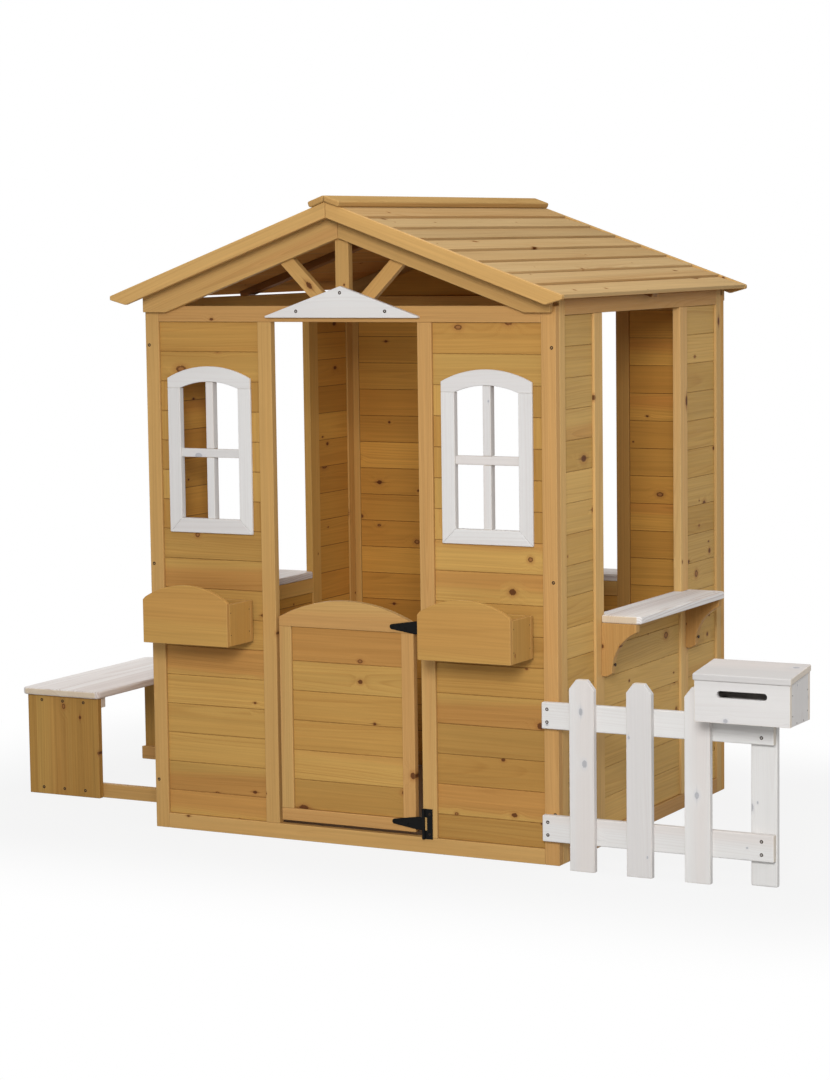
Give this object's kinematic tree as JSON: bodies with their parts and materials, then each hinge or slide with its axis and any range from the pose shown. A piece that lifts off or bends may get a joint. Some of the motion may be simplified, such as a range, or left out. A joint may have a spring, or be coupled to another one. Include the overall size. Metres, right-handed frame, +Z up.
{
  "type": "wooden playhouse",
  "caption": "Child's wooden playhouse with a gable roof, arched half door, barred windows, flower boxes, service shelves, a bench, a picket fence and a lidded mailbox.",
  "frame": {"origin": "middle of the whole footprint, on the floor", "axes": "+X to the right along the front wall, +Y from the front wall to the rear wall, +Z up"},
  "size_m": [2.207, 1.212, 1.5004],
  "materials": {
    "honey_wood": "satin honey stain on softwood",
    "white_wood": "matt white wash on softwood",
    "black_steel": "satin black powder coat",
    "screw_steel": "dull dark zinc"
  },
  "bodies": {
    "house": {"front_stiles": "honey_wood", "front_rails": "honey_wood", "front_boards_left": "honey_wood", "front_boards_right": "honey_wood", "window_heads": "white_wood", "window_jambs": "white_wood", "window_sills": "white_wood", "window_bars": "white_wood", "gable_rafters": "honey_wood", "gable_posts": "honey_wood", "gable_braces": "honey_wood", "pediment": "white_wood", "right_stiles": "honey_wood", "right_rails": "honey_wood", "right_boards": "honey_wood", "right_shelf": "white_wood", "right_brackets": "honey_wood", "left_stiles": "honey_wood", "left_rails": "honey_wood", "left_boards": "honey_wood", "left_shelf": "white_wood", "left_brackets": "honey_wood", "rear_stiles": "honey_wood", "rear_rails": "honey_wood", "rear_boards": "honey_wood", "rear_shelf": "white_wood", "rear_brackets": "honey_wood", "roof_boards_left": "honey_wood", "roof_boards_right": "honey_wood", "barge_boards": "honey_wood", "roof_battens": "honey_wood", "ridge_boards": "honey_wood", "planter_fronts": "honey_wood", "planter_sides": "honey_wood", "planter_backs": "honey_wood", "planter_bottoms": "honey_wood", "planter_hangers": "honey_wood", "bench_seat": "white_wood", "bench_legs": "honey_wood", "bench_cleats": "white_wood", "bench_stretchers": "honey_wood", "fence_rails": "white_wood", "fence_pickets": "white_wood", "fence_post": "white_wood", "mailbox_front": "white_wood", "mailbox_sides": "white_wood", "mailbox_back": "white_wood", "mailbox_bottom": "white_wood", "box_hinge_leaves": "black_steel", "lid_hinge_pins": "black_steel", "door_plates": "black_steel", "door_pins": "black_steel", "wood_screws": "screw_steel"},
    "door": {"door_stiles": "honey_wood", "door_rails": "honey_wood", "door_boards": "honey_wood", "door_straps": "black_steel", "door_screws": "black_steel"},
    "mailbox_lid": {"mailbox_lid": "white_wood", "lid_hinge_leaves": "black_steel"}
  },
  "joints": [
    {"name": "door_swing", "type": "hinge", "parent": "house", "child": "door", "pos_m": [0.1695, -0.485, 0.29375], "axis": [0, 0, 1], "range_deg": [0, 110]},
    {"name": "mailbox_lid_hinge", "type": "hinge", "parent": "house", "child": "mailbox_lid", "pos_m": [0.9925, -0.4781, 0.476], "axis": [-1, 0, 0], "range_deg": [0, 100]}
  ]
}
